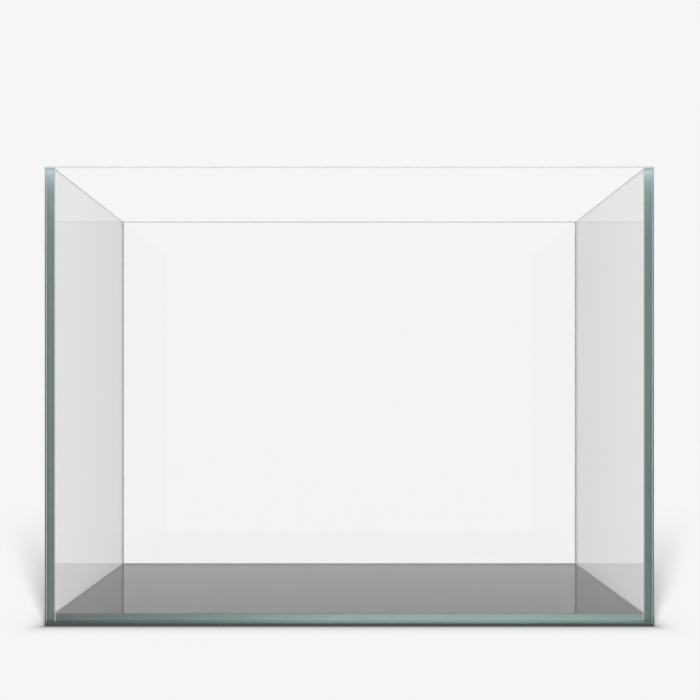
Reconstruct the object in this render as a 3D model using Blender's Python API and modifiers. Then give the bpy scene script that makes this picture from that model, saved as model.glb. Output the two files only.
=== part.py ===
"""A rimless glass aquarium tank on a loose foam mat, modelled as it is put together.

Five glass panes stand on the mat: a front and a back pane of full width, a left and a right
pane between them, and a bottom pane inside all four. Silicone fills the eight seams, four
upright and four round the bottom pane. Metres, +Z up, the front towards -Y, and the origin at
the centre of the mat's underside.
"""

import math

import bmesh
import bpy
from mathutils import Matrix, Vector

# Driving dimensions of the tank
WIDTH = 0.600
DEPTH = 0.300
GLASS_HEIGHT = 0.450
GLASS = 0.008  # thickness of every pane
ARRIS = 0.0003  # flat ground along each edge of a pane
MAT = 0.003  # thickness of the foam once the tank has pressed it
MAT_EDGE = 0.0004

# Silicone seams
JOINT = 0.0012  # room left between two panes for the silicone
BEAD_RISE = 0.0009  # how far the fillet climbs the pane that runs past the seam
BEAD_REACH = 0.0016  # how far it reaches over the pane that stops at the seam
BEAD_LIP = 0.0003  # thickness left at the two ends of the fillet's hollow curve
BEAD_STEPS = 6
SEAM_INSET = 0.0005  # how far the silicone stays back from the outside of the glass

GAP = 0.0003  # kept between pieces that touch

# Places worked out from them
GLASS_BASE = MAT
RIM = GLASS_BASE + GLASS_HEIGHT
FLOOR = GLASS_BASE + GLASS  # top of the bottom pane
INNER_X = WIDTH / 2 - GLASS  # inner face of the left and right panes
INNER_Y = DEPTH / 2 - GLASS  # inner face of the front and back panes

TEAL_GLASS = (0.80, 0.91, 0.90, 1.0)
CLEAR_SILICONE = (0.78, 0.80, 0.80, 1.0)
BLACK_FOAM = (0.035, 0.036, 0.038, 1.0)

X = Vector((1, 0, 0))
Y = Vector((0, 1, 0))
Z = Vector((0, 0, 1))


def clear_scene():
    for obj in list(bpy.data.objects):
        bpy.data.objects.remove(obj, do_unlink=True)


def new_collection(name):
    collection = bpy.data.collections.new(name)
    bpy.context.scene.collection.children.link(collection)
    return collection


def new_material(name, color, roughness, transmission=0.0):
    material = bpy.data.materials.new(name)
    material.use_nodes = True
    shader = material.node_tree.nodes["Principled BSDF"]
    shader.inputs["Base Color"].default_value = color
    shader.inputs["Roughness"].default_value = roughness
    shader.inputs["Metallic"].default_value = 0.0
    shader.inputs["Transmission Weight"].default_value = transmission
    return material


def box_object(name, low, high, collection):
    """A box between two corners, with its origin at its centre and its size in its mesh."""
    mesh = bpy.data.meshes.new(name)
    build = bmesh.new()
    size = [b - a for a, b in zip(low, high)]
    bmesh.ops.create_cube(build, size=1.0, matrix=Matrix.Diagonal((*size, 1.0)))
    build.to_mesh(mesh)
    build.free()
    obj = bpy.data.objects.new(name, mesh)
    obj.location = [(a + b) / 2 for a, b in zip(low, high)]
    collection.objects.link(obj)
    return obj


def add_bevel(obj, width):
    bevel = obj.modifiers.new("arris", "BEVEL")
    bevel.width = width
    bevel.segments = 1
    bevel.limit_method = "ANGLE"


def glass_pane(name, low, high):
    pane = box_object(name, low, high, tank_parts)
    add_bevel(pane, ARRIS)
    pane.data.materials.append(new_material(f"{name}_glass", TEAL_GLASS, 0.0, 1.0))
    pane.parent = tank
    return pane


def seam_outline():
    """The silicone's section in (u, v): u away from the pane that runs past, v into the tank.

    A thin tongue fills the joint down the stopping pane's edge. Above it a small fillet with a
    hollow face joins the two inner faces.
    """
    tongue_end = -GLASS + SEAM_INSET
    points = [
        (GAP, tongue_end),
        (JOINT - GAP, tongue_end),
        (JOINT - GAP, GAP),
        (BEAD_REACH, GAP),
        (BEAD_REACH, GAP + BEAD_LIP),
    ]
    across = BEAD_REACH - GAP - BEAD_LIP
    rise = BEAD_RISE - GAP - BEAD_LIP
    for step in range(1, BEAD_STEPS):
        turn = math.pi / 2 * step / BEAD_STEPS
        u = BEAD_REACH - across * math.sin(turn)
        v = BEAD_RISE - rise * math.cos(turn)
        points.append((u, v))
    points += [(GAP + BEAD_LIP, BEAD_RISE), (GAP, BEAD_RISE)]
    return points


def extruded_outline(name, points, length, collection):
    """A closed outline in XY made solid, half its length to each side, as a welded mesh."""
    curve = bpy.data.curves.new(name, "CURVE")
    curve.dimensions = "2D"
    curve.fill_mode = "BOTH"
    curve.extrude = length / 2
    spline = curve.splines.new("POLY")
    spline.points.add(len(points) - 1)
    spline.use_cyclic_u = True
    for point, (x, y) in zip(spline.points, points):
        point.co = (x, y, 0.0, 1.0)
    guide = bpy.data.objects.new(name, curve)
    collection.objects.link(guide)
    graph = bpy.context.evaluated_depsgraph_get()
    mesh = bpy.data.meshes.new_from_object(guide.evaluated_get(graph))
    bpy.data.objects.remove(guide, do_unlink=True)
    build = bmesh.new()
    build.from_mesh(mesh)
    bmesh.ops.remove_doubles(build, verts=build.verts, dist=1e-6)
    build.to_mesh(mesh)
    build.free()
    obj = bpy.data.objects.new(name, mesh)
    collection.objects.link(obj)
    return obj


def silicone_seam(name, corner, away, inward, fillet_run, tongue_run, tongue_top):
    """The silicone of one seam.

    corner is a point on the seam's inner corner line, away points from the pane that runs past,
    and inward from the outside of the glass into the tank. The runs are distances from corner
    along away x inward: the fillet's, and the longer one of the tongue under it.
    """
    along = away.cross(inward)
    place = Matrix((away, inward, along)).transposed().to_4x4()
    place.translation = corner
    length = fillet_run[1] - fillet_run[0]
    seam = extruded_outline(name, seam_outline(), length, tank_parts)
    seam.data.transform(Matrix.Translation((0, 0, (fillet_run[0] + fillet_run[1]) / 2)))
    tongue_low = (GAP, -GLASS + SEAM_INSET, tongue_run[0])
    tongue_high = (JOINT - GAP, tongue_top, tongue_run[1])
    tongue = box_object(f"{name}_tongue", tongue_low, tongue_high, helper_parts)
    tongue.matrix_world = place @ Matrix.Translation(tongue.location)
    tongue.hide_render = True
    tongue.display_type = "WIRE"
    seam.matrix_world = place
    join = seam.modifiers.new("tongue", "BOOLEAN")
    join.operation = "UNION"
    join.solver = "EXACT"
    join.object = tongue
    seam.data.materials.append(new_material(f"{name}_silicone", CLEAR_SILICONE, 0.35, 0.6))
    seam.parent = tank
    return seam


def upright_seam(name, side, end):
    """The seam between the front or back pane (end -1 or 1) and the left or right (side)."""
    corner = Vector((side * INNER_X, end * INNER_Y, 0))
    away = -end * Y
    inward = -side * X
    upward = away.cross(inward).z  # 1 or -1: whether the seam's own direction runs up
    fillet = sorted(upward * z for z in (FLOOR + GAP, RIM - SEAM_INSET))
    tongue = sorted(upward * z for z in (GLASS_BASE + SEAM_INSET, RIM - 2 * SEAM_INSET))
    silicone_seam(name, corner, away, inward, fillet, tongue, -GAP)


def bottom_seam(name, away, half_length, fillet_stop, tongue_stop):
    """The seam between the bottom pane and the wall that faces along away."""
    distance = INNER_X if away.x else INNER_Y
    corner = -away * distance + FLOOR * Z
    fillet = half_length - fillet_stop
    tongue = half_length - tongue_stop
    silicone_seam(name, corner, away, Z, (-fillet, fillet), (-tongue, tongue), -GAP)


def glass_panes():
    half_w = WIDTH / 2
    half_d = DEPTH / 2
    side_y = INNER_Y - JOINT
    bottom_x = INNER_X - JOINT
    glass_pane("front_pane", (-half_w, -half_d, GLASS_BASE), (half_w, -INNER_Y, RIM))
    glass_pane("back_pane", (-half_w, INNER_Y, GLASS_BASE), (half_w, half_d, RIM))
    glass_pane("left_pane", (-half_w, -side_y, GLASS_BASE), (-INNER_X, side_y, RIM))
    glass_pane("right_pane", (INNER_X, -side_y, GLASS_BASE), (half_w, side_y, RIM))
    glass_pane("bottom_pane", (-bottom_x, -side_y, GLASS_BASE), (bottom_x, side_y, FLOOR))


def silicone_seams():
    for end_name, end in (("front", -1), ("back", 1)):
        for side_name, side in (("left", -1), ("right", 1)):
            upright_seam(f"silicone_{end_name}_{side_name}", side, end)
        bottom_seam(f"silicone_bottom_{end_name}", -end * Y, INNER_X, BEAD_RISE + GAP, GAP)
    for side_name, side in (("left", -1), ("right", 1)):
        bottom_seam(f"silicone_bottom_{side_name}", -side * X, INNER_Y, BEAD_REACH + GAP, JOINT)


def levelling_mat():
    low = (-WIDTH / 2, -DEPTH / 2, 0.0)
    high = (WIDTH / 2, DEPTH / 2, MAT - GAP)
    mat = box_object("levelling_mat", low, high, tank_parts)
    add_bevel(mat, MAT_EDGE)
    mat.data.materials.append(new_material("levelling_mat_foam", BLACK_FOAM, 0.85))


clear_scene()
tank_parts = new_collection("glass_aquarium_tank")
helper_parts = new_collection("cutters")

# The glass and its silicone lift off the mat as one, so they share a parent on that axis.
tank = bpy.data.objects.new("tank", None)
tank_parts.objects.link(tank)

levelling_mat()
glass_panes()
silicone_seams()
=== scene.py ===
"""Looks of the rimless glass aquarium tank on its foam mat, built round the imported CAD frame.

Each pane, each silicone seam and the mat is a finer piece that stands for its CAD node and keeps
its place and size. Metres, +Z up, the front towards -Y.
"""

import math

import bmesh
import bpy
from mathutils import Matrix, Vector, noise


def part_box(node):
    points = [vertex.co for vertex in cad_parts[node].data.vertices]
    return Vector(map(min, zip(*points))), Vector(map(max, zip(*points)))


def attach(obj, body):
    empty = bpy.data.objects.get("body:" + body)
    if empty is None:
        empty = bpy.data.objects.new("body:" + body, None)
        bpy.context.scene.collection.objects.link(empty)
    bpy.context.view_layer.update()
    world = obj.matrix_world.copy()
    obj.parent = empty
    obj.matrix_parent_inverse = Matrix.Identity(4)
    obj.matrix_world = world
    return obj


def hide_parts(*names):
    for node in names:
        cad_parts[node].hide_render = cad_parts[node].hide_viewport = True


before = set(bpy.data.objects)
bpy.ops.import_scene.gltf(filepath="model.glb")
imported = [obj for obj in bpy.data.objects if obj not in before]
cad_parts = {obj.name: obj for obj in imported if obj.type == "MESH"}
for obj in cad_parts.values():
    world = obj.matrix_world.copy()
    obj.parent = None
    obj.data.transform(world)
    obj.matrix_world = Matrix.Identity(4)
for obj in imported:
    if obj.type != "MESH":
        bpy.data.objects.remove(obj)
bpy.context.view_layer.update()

# Places and sizes that the frame gives
front_low, front_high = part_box("front_pane")
RIM = front_high.z
GLASS_BASE = front_low.z
GLASS_HEIGHT = RIM - GLASS_BASE
GLASS = front_high.y - front_low.y  # thickness of a pane
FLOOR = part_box("bottom_pane")[1].z  # top of the bottom pane
INNER_X = -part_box("left_pane")[1].x  # inner face of the left and right panes
INNER_Y = -front_high.y  # inner face of the front and back panes

# Glass
GLASS_IOR = 1.5
ARRIS = 0.0003  # flat ground along each edge of a pane
ARRIS_EASE = 0.00005  # the softened line at each side of that flat
ARRIS_ROUGHNESS = 0.6
EDGE_ROUGHNESS = 0.02
EDGE_CLEAR = 0.35  # share of a polished edge that lets light through; the rest scatters it
EDGE_GLANCE = 0.53  # that share where the edge is met at a glance
BONDED_GLANCE = 0.95  # the same at a side pane's back end, which silicone wets
GLANCE_FROM = 0.4  # Fresnel value where an edge starts to change from one share to the other
GLANCE_TO = 0.9  # and where it has changed
# Painted shade: the flats along the lower edges are the bottom edge's colour dimmed to this share
LOW_ARRIS_SHARE = 0.50  # of a bottom edge's colour, on the flats ground along it

# The slots of a pane's piece, in the order of its materials
FACE = 0
AROUND = 1  # polished edges, except those that face the back
OUTER_UPRIGHT = 2  # ground flats
INNER_UPRIGHT = 3
UPPER_LEVEL = 4
LOWER_LEVEL = 5
BACKWARD = 6  # polished edges that face the back

# Silicone
SILICONE_IOR = 1.41
SKIN = 0.00003  # left between the silicone and the glass, so that no two faces coincide
JOINT = 0.0012  # room between two panes, which the silicone fills
SEAM_INSET = 0.0005  # how far the silicone stays back from the outside of the glass
BEAD_RISE = 0.0009  # climb of the fillet up the pane that runs past the seam
BEAD_REACH = 0.0016  # reach of the fillet over the pane that stops at the seam
BEAD_LIP = 0.00012  # thickness left at the two ends of the fillet's hollow curve
BEAD_STEPS = 10
BEAD_PITCH = 0.004  # distance between the sections along a seam
BEAD_WOBBLE = 0.00003  # how unevenly the fillet was smoothed
BEAD_WAVE = 0.018  # over what length that changes

# Foam
MAT_EDGE = 0.0004  # rounding of the mat's cut edges
MAT_EDGE_STEPS = 3
FOAM_CELLS = 1600.0  # to a metre
WIDE_CELLS = 520.0  # the same for the patches in which their depth changes

NOISE_LOW = 0.3  # nearly all of a noise texture lies between these two
NOISE_HIGH = 0.7
SMOOTH_BELOW = math.radians(35)  # sharper creases stay sharp

# Studio
BACKDROP = 0.92  # brightness of the backdrop, and of the floor where nothing shades it
SLANT_LOSS = 0.24  # of light at each pane that has mirrored it, once it has left through another
PAPER = 0.57  # what the floor's paper reflects; the keys make up the rest of BACKDROP on it
FLOOR_RADIUS = 12.0
KEY_TURN = math.radians(21)  # how far round from the front each key lamp stands
KEY_HEIGHTS = range(24, 72, 6)  # degrees above the floor, one lamp at each
KEY_SIZE = math.radians(5.5)  # across each lamp, as the tank sees it
POST_WIDTH = 0.040  # of the strip at each front corner that stops the keys' light
CONTACT_DEPTH = 0.68  # how dark the floor is where the mat meets it
CONTACT_REACH = 0.008  # distance in which that falls to a third
PAPER_NEAR = 1.5  # distance from the tank up to which the paper is lit by the keys
PAPER_FAR = 4.0  # and from which on it only glows, as the surround does, to hide the horizon

# Camera
CAMERA_BACK = 0.9284  # from the front of the glass
CAMERA_RISE = 0.2215  # from the underside of the glass
CAMERA_LENS = 48.5  # millimetres, as is the sensor
CAMERA_SENSOR = 36.0
CAMERA_SHIFT = (0.0009, 0.0692)  # across and up, in sensor widths

X = Vector((1, 0, 0))
Y = Vector((0, 1, 0))
Z = Vector((0, 0, 1))


# ---- Nodes -----------------------------------------------------------------------------------


class Nodes:
    """Short calls for building a material's or a world's nodes."""

    def __init__(self, owner):
        owner.use_nodes = True
        self.tree = owner.node_tree
        self.tree.nodes.clear()

    def add(self, kind, inputs=None, **settings):
        node = self.tree.nodes.new(kind)
        for name, value in settings.items():
            setattr(node, name, value)
        for name, value in (inputs or {}).items():
            self.set(node, name, value)
        return node

    def set(self, node, name, value):
        if isinstance(value, bpy.types.NodeSocket):
            self.tree.links.new(value, node.inputs[name])
        else:
            node.inputs[name].default_value = value

    def math(self, operation, a, b=0.0):
        return self.add("ShaderNodeMath", {0: a, 1: b}, operation=operation).outputs[0]

    def remap(self, value, low, high, out_low, out_high, smooth=False):
        node = self.add(
            "ShaderNodeMapRange",
            {"Value": value, "From Min": low, "From Max": high, "To Min": out_low, "To Max": out_high},
            interpolation_type="SMOOTHSTEP" if smooth else "LINEAR",
        )
        return node.outputs["Result"]

    def ramp(self, value, stops):
        node = self.add("ShaderNodeValToRGB", {"Fac": value})
        elements = node.color_ramp.elements
        while len(elements) < len(stops):
            elements.new(0.5)
        for element, (position, color) in zip(elements, stops):
            element.position = position
            element.color = (*color, 1.0)
        return node.outputs["Color"]

    def mix(self, factor, a, b, blend="MIX"):
        node = self.add("ShaderNodeMix", data_type="RGBA", blend_type=blend)
        self.set(node, 0, factor)
        self.set(node, 6, a)
        self.set(node, 7, b)
        return node.outputs[2]

    def noise(self, vector, scale):
        inputs = {"Vector": vector, "Scale": scale, "Detail": 3.0}
        return self.add("ShaderNodeTexNoise", inputs).outputs["Fac"]

    def spread(self, value, out_low, out_high):
        """A noise's values spread from out_low to out_high."""
        return self.remap(value, NOISE_LOW, NOISE_HIGH, out_low, out_high)

    def object_place(self):
        return self.add("ShaderNodeTexCoord").outputs["Object"]

    def height(self, place):
        return self.add("ShaderNodeSeparateXYZ", {"Vector": place}).outputs["Z"]

    def bump(self, value, strength, distance):
        inputs = {"Height": value, "Strength": strength, "Distance": distance}
        return self.add("ShaderNodeBump", inputs).outputs["Normal"]

    def surface(self, inputs):
        shader = self.add("ShaderNodeBsdfPrincipled", inputs)
        self.add("ShaderNodeOutputMaterial", {"Surface": shader.outputs["BSDF"]})


def new_material(name):
    material = bpy.data.materials.new(name)
    return material, Nodes(material)


# ---- Materials -------------------------------------------------------------------------------


WHITE = (1.0, 1.0, 1.0, 1.0)


def grey(value):
    return (value, value, value)


def glass_face(name, stops):
    """Clear float glass that darkens what is seen through it at a slant.

    stops pair a Fresnel value with the share of light that passes one of the pane's two surfaces
    there. The shader takes the square root of its colour at each surface, so that is squared.
    """
    material, nodes = new_material(name)
    slant = nodes.add("ShaderNodeFresnel", {"IOR": GLASS_IOR}).outputs["Fac"]
    tint = nodes.ramp(slant, [(at, grey(passed**2)) for at, passed in stops])
    nodes.surface(
        {"Base Color": tint, "Roughness": 0.0, "IOR": GLASS_IOR, "Transmission Weight": 1.0}
    )
    return material


def fade_position(depth):
    """Where a depth below the rim lies on a ramp that is finer near the rim."""
    return math.sqrt(depth / GLASS_HEIGHT)


def polished(nodes, color, glancing):
    """A polished edge, which lets part of the light through and scatters the rest."""
    glance = nodes.add("ShaderNodeFresnel", {"IOR": GLASS_IOR}).outputs["Fac"]
    clear = nodes.remap(glance, GLANCE_FROM, GLANCE_TO, EDGE_CLEAR, glancing)
    nodes.surface(
        {
            "Base Color": color,
            "Roughness": EDGE_ROUGHNESS,
            "IOR": GLASS_IOR,
            "Transmission Weight": clear,
        }
    )


def edge_color(nodes, stops):
    """Teal: the glass's own hue, with painted light that stands in for the light an edge shows after
    it has come a long way through the glass.

    stops are depths below the rim, with the colour there: painted brighter and bluer near the rim,
    as light from above would make it, and darker towards the foot.
    """
    place = nodes.object_place()
    depth = nodes.math("SUBTRACT", RIM, nodes.height(place))
    share = nodes.math("DIVIDE", depth, GLASS_HEIGHT)
    along = nodes.math("SQRT", nodes.math("MAXIMUM", share, 0.0))
    color = nodes.ramp(along, [(fade_position(at), tone) for at, tone in stops])
    cloud = nodes.spread(nodes.noise(place, 22.0), 0.0, 1.0)
    patchy = nodes.mix(cloud, (0.95, 0.97, 0.97, 1.0), WHITE)
    return nodes.mix(1.0, color, patchy, "MULTIPLY")


def glass_edge(name, stops, glancing):
    """A wall pane's polished edge, with edge_color's stops."""
    material, nodes = new_material(name)
    polished(nodes, edge_color(nodes, stops), glancing)
    return material


def ground(nodes, color):
    """The narrow flat along an edge, left matt from the grinding belt."""
    nodes.surface({"Base Color": color, "Roughness": ARRIS_ROUGHNESS, "IOR": GLASS_IOR})


def ground_arris(name, stops):
    """The flat along a wall pane's edge, with edge_color's stops."""
    material, nodes = new_material(name)
    ground(nodes, edge_color(nodes, stops))
    return material


def strip_color(nodes, stops):
    """Teal, with painted light and shade along the width, and painted a little brighter lower down,
    where the mat would shade it too much.

    stops are places from 0 at the left to 1 at the right, with the colour there.
    """
    place = nodes.add("ShaderNodeSeparateXYZ", {"Vector": nodes.object_place()})
    color = nodes.ramp(nodes.remap(place.outputs["X"], -INNER_X, INNER_X, 0.0, 1.0), stops)
    rise = nodes.remap(place.outputs["Z"], GLASS_BASE, FLOOR, 0.0, 1.0)
    return nodes.mix(1.0, color, nodes.ramp(rise, STRIP_RISE), "MULTIPLY")


def floor_edge(name, stops):
    """The bottom pane's polished edge, with strip_color's stops."""
    material, nodes = new_material(name)
    polished(nodes, strip_color(nodes, stops), EDGE_GLANCE)
    return material


def floor_arris(name, stops):
    """The flat along the bottom pane's edge or a wall's lower edge, with strip_color's stops."""
    material, nodes = new_material(name)
    ground(nodes, strip_color(nodes, stops))
    return material


def joint_end_material():
    """A joint beside the bottom pane, seen end on, painted brighter towards the top as light that
    comes down it from the tank's inside would make it.
    """
    material, nodes = new_material("clear_silicone_end")
    rise = nodes.remap(nodes.height(nodes.object_place()), GLASS_BASE, FLOOR, 0.0, 1.0)
    color = nodes.ramp(rise, JOINT_END)
    nodes.surface({"Base Color": color, "Roughness": 0.4, "IOR": SILICONE_IOR})
    return material


def silicone_material(name, roughness, cloudy_and_shaded, clear):
    """Clear silicone, between two greys from place to place, and now smoother, now rougher.

    Where the two greys lie well below white, their darkness is painted shade.
    """
    material, nodes = new_material(name)
    cloud = nodes.noise(nodes.object_place(), 60.0)
    nodes.surface(
        {
            "Base Color": nodes.mix(cloud, (*grey(cloudy_and_shaded), 1.0), (*grey(clear), 1.0)),
            "Roughness": nodes.spread(cloud, roughness * 0.6, roughness * 1.4),
            "IOR": SILICONE_IOR,
            "Transmission Weight": 1.0,
        }
    )
    return material


def foam_material():
    """Closed-cell foam: fine cut cells, deeper and shallower in patches the size of wider ones, with
    painted shade in the cells' hollows.
    """
    material, nodes = new_material("black_foam")
    place = nodes.object_place()
    cells = nodes.add("ShaderNodeTexVoronoi", {"Vector": place, "Scale": FOAM_CELLS})
    wide = nodes.add("ShaderNodeTexVoronoi", {"Vector": place, "Scale": WIDE_CELLS})
    pits = nodes.math("MULTIPLY", cells.outputs["Distance"], wide.outputs["Distance"])
    worn = nodes.noise(place, 25.0)
    dark = nodes.mix(worn, (0.056, 0.063, 0.065, 1.0), (0.080, 0.090, 0.093, 1.0))
    # Painted shade: darker in the cells' hollows, lighter on their rims
    lit = nodes.mix(nodes.remap(pits, 0.0, 0.35, 0.0, 1.0), dark, (0.100, 0.113, 0.117, 1.0))
    nodes.surface(
        {
            "Base Color": lit,
            "Roughness": nodes.spread(worn, 0.80, 0.92),
            "Specular IOR Level": 0.35,
            "Normal": nodes.bump(pits, 0.6, 0.0004),
        }
    )
    return material


def slant_loss(nodes, value):
    """value, less where the camera sees it mirrored once or twice and through two panes.

    That light crosses the glass at a slant, which the mirror's own shader can't take account of.
    Through two panes means at least four surfaces.
    """
    path = nodes.add("ShaderNodeLightPath")
    mirrored = nodes.math("MINIMUM", path.outputs["Glossy Depth"], 2.0)
    through = nodes.math("GREATER_THAN", path.outputs["Transmission Depth"], 3.5)
    seen = nodes.math("LESS_THAN", path.outputs["Diffuse Depth"], 0.5)
    lost = nodes.math("MULTIPLY", nodes.math("MULTIPLY", mirrored, through), seen)
    return nodes.remap(lost, 0.0, 2.0, value, value * (1 - 2 * SLANT_LOSS))


def contact_shade(nodes):
    """1 far from the mat and less towards it, as a soft shadow where it meets the floor."""
    place = nodes.add("ShaderNodeSeparateXYZ", {"Vector": nodes.object_place()})
    low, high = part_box("levelling_mat")
    beyond = []
    for axis, half in (("X", high.x), ("Y", high.y)):
        outside = nodes.math("SUBTRACT", nodes.math("ABSOLUTE", place.outputs[axis]), half)
        beyond.append(nodes.math("POWER", nodes.math("MAXIMUM", outside, 0.0), 2.0))
    distance = nodes.math("SQRT", nodes.math("ADD", *beyond))
    fade = nodes.math("EXPONENT", nodes.math("DIVIDE", distance, -CONTACT_REACH))
    return nodes.math("SUBTRACT", 1.0, nodes.math("MULTIPLY", fade, CONTACT_DEPTH))


def floor_material():
    """White paper, which shows the keys' shadows where no glass is in front of it.

    Behind the panes and far away it glows as bright as it is lit elsewhere, so that clear glass
    stays clear and the paper meets the surround without a line.
    """
    material, nodes = new_material("studio_paper")
    path = nodes.add("ShaderNodeLightPath")
    through = nodes.math("GREATER_THAN", path.outputs["Transmission Depth"], 0.5)
    seen = nodes.math("LESS_THAN", path.outputs["Diffuse Depth"], 0.5)
    behind = nodes.math("MULTIPLY", through, seen)
    from_tank = nodes.add(
        "ShaderNodeVectorMath", {0: nodes.object_place()}, operation="LENGTH"
    ).outputs["Value"]
    near = nodes.remap(from_tank, PAPER_NEAR, PAPER_FAR, 1.0, 0.0, smooth=True)
    lit = nodes.math("MULTIPLY", near, nodes.math("SUBTRACT", 1.0, behind))
    shade = contact_shade(nodes)
    paper = nodes.math("MULTIPLY", nodes.math("MULTIPLY", shade, lit), PAPER)
    glowing = nodes.math("MULTIPLY", shade, nodes.math("SUBTRACT", 1.0, lit))
    glow = nodes.math("MULTIPLY", glowing, slant_loss(nodes, BACKDROP))
    nodes.surface(
        {
            "Base Color": paper,
            "Roughness": 1.0,
            "Specular IOR Level": 0.0,
            "Emission Color": WHITE,
            "Emission Strength": glow,
        }
    )
    return material


def dimmed(stops, share):
    return [(at, tuple(share * part for part in tone)) for at, tone in stops]


def rim_stops(tone):
    """A rim's flat lies in the topmost 0.3 mm, so its colour is nearly all tone."""
    return [(0.0, tone), (GLASS_HEIGHT, (0.16, 0.24, 0.23))]


# Colours by depth below the rim, in metres: teal, painted brighter and bluer near the rim as light
# from above, and darker towards the foot
TEAL = [
    (0.0000, (0.92, 0.98, 0.96)),
    (0.0003, (0.33, 0.48, 0.46)),
    (0.0020, (0.50, 0.70, 0.66)),
    (0.0045, (0.76, 1.00, 0.98)),
    (0.0070, (0.52, 0.74, 0.76)),
    (0.0100, (0.44, 0.64, 0.67)),
    (0.0130, (0.36, 0.55, 0.57)),
    (0.0160, (0.28, 0.46, 0.46)),
    (0.0220, (0.21, 0.36, 0.34)),
    (0.0320, (0.13, 0.24, 0.22)),
    (0.0570, (0.115, 0.215, 0.212)),
    (0.1210, (0.098, 0.190, 0.183)),
    (0.1810, (0.090, 0.180, 0.170)),
    (0.3300, (0.066, 0.150, 0.143)),
    (0.4450, (0.050, 0.137, 0.132)),
    (0.4480, (0.040, 0.098, 0.094)),
    (0.4500, (0.030, 0.075, 0.072)),
]
# Darker copies for the ground flats along the outer uprights: painted shade, painted lighter near the
# rim
OUTER_TEAL = [
    (0.000, (0.340, 0.420, 0.410)),
    (0.004, (0.200, 0.280, 0.270)),
    (0.017, (0.120, 0.200, 0.190)),
    (0.032, (0.088, 0.165, 0.152)),
    (0.181, (0.063, 0.126, 0.119)),
    (0.450, (0.035, 0.096, 0.092)),
]

# Colours along the bottom pane's edge, as painted light and shade: darkest at the left end and
# lightest right of the middle; and how they change from its underside to its top, painted brighter
# lower down
STRIP = [
    (0.00, (0.035, 0.104, 0.104)),
    (0.04, (0.089, 0.176, 0.168)),
    (0.20, (0.162, 0.360, 0.342)),
    (0.29, (0.278, 0.493, 0.441)),
    (0.45, (0.499, 0.777, 0.731)),
    (0.58, (0.551, 0.841, 0.812)),
    (0.74, (0.551, 0.841, 0.812)),
    (0.90, (0.447, 0.766, 0.684)),
    (1.00, (0.400, 0.632, 0.603)),
]
STRIP_RISE = [(0.0, grey(1.0)), (0.3, grey(0.95)), (1.0, grey(0.72))]

# Colours of a bottom joint's end, from its lowest to its highest: painted light coming down the
# joint, darker at the foot
JOINT_END = [(0.0, (0.34, 0.40, 0.40)), (0.35, (0.82, 0.88, 0.88)), (1.0, (0.95, 1.00, 1.00))]

CLEAR = glass_face("clear_glass", [(0, 1), (0.07, 1), (0.21, 0.94), (0.29, 0.895), (0.60, 0.76)])
# Painted shade: at a slant the bottom pane passes less than clear glass, which keeps the tank's floor
# dark over the black foam
OVER_FOAM = glass_face("clear_glass_over_foam", [(0, 1), (0.10, 0.9), (0.25, 0.48), (0.40, 0.70)])
EDGE = glass_edge("polished_edge", TEAL, EDGE_GLANCE)
BONDED_END = glass_edge("polished_edge_bonded", TEAL, BONDED_GLANCE)
FLOOR_EDGE = floor_edge("polished_floor_edge", STRIP)
OUTER_ARRIS = ground_arris("outer_arris", OUTER_TEAL)
# Lit and shaded copies of the flats along the inner uprights, as painted light and shade: lighter on
# the side panes, and a little darker towards the foot
INNER_ARRIS = ground_arris(
    "inner_arris", [(0.0, (0.36, 0.43, 0.42)), (GLASS_HEIGHT, (0.30, 0.36, 0.35))]
)
SIDE_INNER_ARRIS = ground_arris(
    "side_inner_arris", [(0.0, (0.52, 0.60, 0.59)), (GLASS_HEIGHT, (0.48, 0.56, 0.55))]
)
# Lit and shaded copies of the rim's ground flat, as painted light and shade: brightest on the front
# pane, darker on the back pane, darkest on the side panes
RIM_ARRIS = ground_arris("rim_arris", rim_stops((0.96, 0.99, 0.98)))
BACK_RIM_ARRIS = ground_arris("back_rim_arris", rim_stops((0.50, 0.55, 0.54)))
DIM_RIM_ARRIS = ground_arris("dim_rim_arris", rim_stops((0.28, 0.30, 0.30)))
# Painted shade: the flats along the lower edges, in the bottom edge's colours dimmed
LOW_ARRIS = floor_arris("low_arris", dimmed(STRIP, LOW_ARRIS_SHARE))
FILLET = silicone_material("clear_silicone", 0.12, 0.97, 1.00)
BONDED = silicone_material("clear_silicone_bonded", 0.02, 0.91, 0.97)
# Painted shade: darker copies of the same clear silicone, at the back and over the foam
FILLET_BACK = silicone_material("clear_silicone_at_back", 0.12, 0.15, 0.21)
OVER_FOAM_FILLET = silicone_material("clear_silicone_over_foam", 0.12, 0.50, 0.64)
OVER_FOAM_BACK = silicone_material("clear_silicone_over_foam_at_back", 0.12, 0.24, 0.32)
JOINT_END_SILICONE = joint_end_material()
FOAM = foam_material()


# ---- Mesh helpers ----------------------------------------------------------------------------


def mesh_object(name, build, materials):
    mesh = bpy.data.meshes.new(name)
    build.normal_update()
    build.to_mesh(mesh)
    build.free()
    for material in materials:
        mesh.materials.append(material)
    obj = bpy.data.objects.new(name, mesh)
    bpy.context.scene.collection.objects.link(obj)
    return obj


def pane_slot(normal, thin, outward):
    """Which of a pane's slots a face belongs to, by its normal and the way out of the tank.

    thin is the axis across the pane.
    """
    if max(abs(part) for part in normal) > 0.999:
        if abs(normal[thin]) > 0.999:
            return FACE
        return BACKWARD if normal.y > 0.999 else AROUND
    if abs(normal.z) > 0.05:
        return UPPER_LEVEL if normal.z > 0 else LOWER_LEVEL
    return OUTER_UPRIGHT if normal.dot(outward) > 0 else INNER_UPRIGHT


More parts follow.
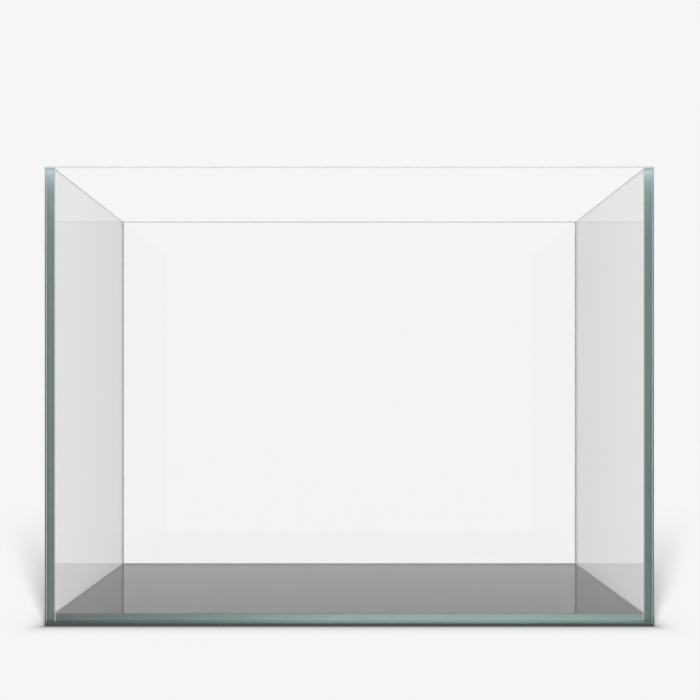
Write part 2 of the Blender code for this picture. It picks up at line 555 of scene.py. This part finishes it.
def glass_pane(node, materials):
    """A pane with ground arrises, its materials in the order of the slots.

    Diffuse rays pass by the wall panes, so that these don't darken the paper floor.
    """
    low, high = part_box(node)
    size = high - low
    build = bmesh.new()
    place = Matrix.Translation((low + high) / 2) @ Matrix.Diagonal((*size, 1.0))
    bmesh.ops.create_cube(build, size=1.0, matrix=place)
    bmesh.ops.bevel(build, geom=build.edges[:], offset=ARRIS, segments=1, affect="EDGES")
    bmesh.ops.bevel(build, geom=build.edges[:], offset=ARRIS_EASE, segments=1, affect="EDGES")
    thin = min(range(3), key=lambda axis: size[axis])
    outward = Vector([low[axis] + high[axis] if axis == thin else 0 for axis in range(3)])
    build.normal_update()
    for face in build.faces:
        face.material_index = pane_slot(face.normal, thin, outward)
    pane = mesh_object(f"{node}_glass", build, materials)
    pane.visible_diffuse = thin == 2
    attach(pane, "tank")
    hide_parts(node)


def seam_section(rise, reach):
    """The silicone's section in (u, v), as in the CAD but with a fuller joint and a finer fillet.

    u runs away from the pane that runs past, and v into the tank.
    """
    tongue_end = -GLASS + SEAM_INSET
    points = [
        (SKIN, tongue_end),
        (JOINT - SKIN, tongue_end),
        (JOINT - SKIN, SKIN),
        (reach, SKIN),
        (reach, SKIN + BEAD_LIP),
    ]
    for step in range(1, BEAD_STEPS):
        turn = math.pi / 2 * step / BEAD_STEPS
        u = reach - (reach - SKIN - BEAD_LIP) * math.sin(turn)
        v = rise - (rise - SKIN - BEAD_LIP) * math.cos(turn)
        points.append((u, v))
    points += [(SKIN + BEAD_LIP, rise), (SKIN, rise)]
    return points


def silicone_seam(node, corner, away, inward, start, end, fillet):
    """One seam's silicone, run from start to end along away x inward, with an uneven fillet.

    corner is a point on the seam's inner corner line, and fillet the material of its open face.
    """
    along = away.cross(inward)
    steps = max(2, round((end - start) / BEAD_PITCH))
    build = bmesh.new()
    rings = []
    for index in range(steps + 1):
        run = start + (end - start) * index / steps
        spot = corner + along * run
        uneven = noise.noise(spot / BEAD_WAVE) * BEAD_WOBBLE
        lean = noise.noise(spot / BEAD_WAVE + 7 * X) * BEAD_WOBBLE
        ring = []
        for u, v in seam_section(BEAD_RISE + uneven, BEAD_REACH + lean):
            ring.append(build.verts.new(spot + away * u + inward * v))
        rings.append(ring)
    count = len(rings[0])
    open_sides = range(3, count - 1)  # the others lie on the glass or end the tongue
    for ring, following in zip(rings, rings[1:]):
        for k in range(count):
            n = (k + 1) % count
            face = build.faces.new((ring[k], ring[n], following[n], following[k]))
            face.material_index = 0 if k in open_sides else 1
    for cap in (reversed(rings[0]), rings[-1]):
        build.faces.new(cap).material_index = 2
    bmesh.ops.recalc_face_normals(build, faces=build.faces[:])
    end_caps = JOINT_END_SILICONE if inward.z else BONDED
    seam = mesh_object(f"{node}_bead", build, [fillet, BONDED, end_caps])
    seam.visible_diffuse = False
    seam.data.shade_smooth()
    seam.data.set_sharp_from_angle(angle=SMOOTH_BELOW)
    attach(seam, "tank")
    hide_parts(node)


def run_length(node, axis, corner):
    """Where a seam's CAD node starts and ends along axis, measured from corner."""
    return sorted((point - corner).dot(axis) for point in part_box(node))


# ---- The object ------------------------------------------------------------------------------


def build_panes():
    """The five panes. The walls' materials differ only along their edges: in the painted light and
    shade of their ground flats, and in how much light a side pane's bonded back end lets through.
    """
    front = [CLEAR, EDGE, OUTER_ARRIS, INNER_ARRIS, RIM_ARRIS, LOW_ARRIS, EDGE]
    back = [CLEAR, EDGE, OUTER_ARRIS, INNER_ARRIS, BACK_RIM_ARRIS, LOW_ARRIS, EDGE]
    side = [CLEAR, EDGE, OUTER_ARRIS, SIDE_INNER_ARRIS, DIM_RIM_ARRIS, LOW_ARRIS, BONDED_END]
    bottom = [OVER_FOAM, FLOOR_EDGE, LOW_ARRIS, LOW_ARRIS, LOW_ARRIS, LOW_ARRIS, FLOOR_EDGE]
    glass_pane("front_pane", front)
    glass_pane("back_pane", back)
    glass_pane("left_pane", side)
    glass_pane("right_pane", side)
    glass_pane("bottom_pane", bottom)


def build_seams():
    """The four upright seams and the four round the bottom pane."""
    for end_name, end, upright, level in (
        ("front", -1, FILLET, OVER_FOAM_FILLET),
        ("back", 1, FILLET_BACK, OVER_FOAM_BACK),
    ):
        away = -end * Y
        for side_name, side in (("left", -1), ("right", 1)):
            node = f"silicone_{end_name}_{side_name}"
            corner = Vector((side * INNER_X, end * INNER_Y, 0))
            inward = -side * X
            start, stop = run_length(node, away.cross(inward), corner)
            silicone_seam(node, corner, away, inward, start, stop, upright)
        node = f"silicone_bottom_{end_name}"
        corner = Vector((0, end * INNER_Y, FLOOR))
        start, stop = run_length(node, away.cross(Z), corner)
        silicone_seam(node, corner, away, Z, start, stop, level)
    for side_name, side in (("left", -1), ("right", 1)):
        node = f"silicone_bottom_{side_name}"
        away = -side * X
        corner = Vector((side * INNER_X, 0, FLOOR))
        start, stop = run_length(node, away.cross(Z), corner)
        silicone_seam(node, corner, away, Z, start, stop, OVER_FOAM_FILLET)


def build_mat():
    """The foam sheet: cut with a knife, so its edges are square and barely rounded."""
    low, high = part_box("levelling_mat")
    size = high - low
    build = bmesh.new()
    place = Matrix.Translation((low + high) / 2) @ Matrix.Diagonal((*size, 1.0))
    bmesh.ops.create_cube(build, size=1.0, matrix=place)
    edges = build.edges[:]
    bmesh.ops.bevel(build, geom=edges, offset=MAT_EDGE, segments=MAT_EDGE_STEPS, affect="EDGES")
    mat = mesh_object("levelling_mat_foam", build, [FOAM])
    mat.data.shade_smooth()
    mat.data.set_sharp_from_angle(angle=SMOOTH_BELOW)
    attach(mat, "mat")
    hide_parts("levelling_mat")


build_panes()
build_seams()
build_mat()


# ---- Studio ----------------------------------------------------------------------------------


def build_world():
    """An even white surround, weaker where slant_loss says."""
    world = bpy.data.worlds.new("studio")
    bpy.context.scene.world = world
    world.cycles.sampling_method = "NONE"
    nodes = Nodes(world)
    strength = slant_loss(nodes, BACKDROP)
    shader = nodes.add("ShaderNodeBackground", {"Color": WHITE, "Strength": strength})
    nodes.add("ShaderNodeOutputWorld", {"Surface": shader.outputs["Background"]})


def one_object(obj, name):
    """A collection of one object, as light linking needs."""
    collection = bpy.data.collections.new(name)
    collection.objects.link(obj)
    return collection


def floor_half(side_name, side):
    """Half of the round paper floor, on one side of the tank's middle."""
    build = bmesh.new()
    bmesh.ops.create_circle(build, cap_ends=True, radius=FLOOR_RADIUS, segments=96)
    everything = build.verts[:] + build.edges[:] + build.faces[:]
    bmesh.ops.bisect_plane(
        build, geom=everything, plane_co=(0, 0, 0), plane_no=(-side, 0, 0), clear_outer=True
    )
    half = mesh_object(f"studio_floor_{side_name}", build, [PAPER_WHITE])
    return half


def corner_post(side_name, side):
    """A strip that no camera sees, for the shadow of a front corner's upright edges.

    Cycles lets a lamp's light through clear glass or stops it all. The keys pass the panes, and
    these strips stop what the corner's stack of edges and silicone would.
    """
    corner = Vector((side * front_high.x, front_low.y, GLASS_BASE))
    build = bmesh.new()
    across = -side * POST_WIDTH * X
    up = GLASS_HEIGHT * Z
    spots = (corner, corner + across, corner + across + up, corner + up)
    build.faces.new([build.verts.new(spot) for spot in spots])
    post = mesh_object(f"shade_{side_name}", build, [PAPER_WHITE])
    post.visible_camera = False
    post.visible_diffuse = False
    post.visible_glossy = False
    post.visible_transmission = False
    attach(post, "tank")
    return post


def build_floor_and_keys():
    """Soft lamps, stacked at either side of the front, that light the half floor across from them.

    With the surround's light they make the paper as bright as the surround.
    """
    each = BACKDROP * (1 - PAPER) / PAPER / len(KEY_HEIGHTS)
    for side_name, side in (("left", -1), ("right", 1)):
        lit = one_object(floor_half(side_name, side), f"lit_{side_name}")
        shades = one_object(corner_post(side_name, side), f"shades_{side_name}")
        for height in KEY_HEIGHTS:
            up = math.radians(height)
            lamp = bpy.data.lights.new(f"key_{side_name}_{height}", "SUN")
            lamp.energy = each * math.pi / math.sin(up)
            lamp.angle = KEY_SIZE
            lamp.cycles.use_multiple_importance_sampling = False
            across = side * math.sin(KEY_TURN) * math.cos(up)
            travel = Vector((across, math.cos(KEY_TURN) * math.cos(up), -math.sin(up)))
            key = bpy.data.objects.new(lamp.name, lamp)
            key.rotation_euler = travel.to_track_quat("-Z", "Y").to_euler()
            bpy.context.scene.collection.objects.link(key)
            key.light_linking.receiver_collection = lit
            key.light_linking.blocker_collection = shades


def build_camera():
    """A level camera in front of the tank, at about half its height."""
    data = bpy.data.cameras.new("camera")
    data.lens = CAMERA_LENS
    data.sensor_width = CAMERA_SENSOR
    data.shift_x, data.shift_y = CAMERA_SHIFT
    camera = bpy.data.objects.new("camera", data)
    camera.location = (0, front_low.y - CAMERA_BACK, front_low.z + CAMERA_RISE)
    camera.rotation_euler = (math.pi / 2, 0, 0)
    bpy.context.scene.collection.objects.link(camera)
    bpy.context.scene.camera = camera


def set_render():
    """Plain colours, and enough bounces for light that runs on inside the panes."""
    scene = bpy.context.scene
    scene.view_settings.view_transform = "Standard"
    scene.cycles.max_bounces = 40
    scene.cycles.glossy_bounces = 32
    scene.cycles.transmission_bounces = 32
    scene.cycles.transparent_max_bounces = 16


PAPER_WHITE = floor_material()
build_world()
build_floor_and_keys()
build_camera()
set_render()
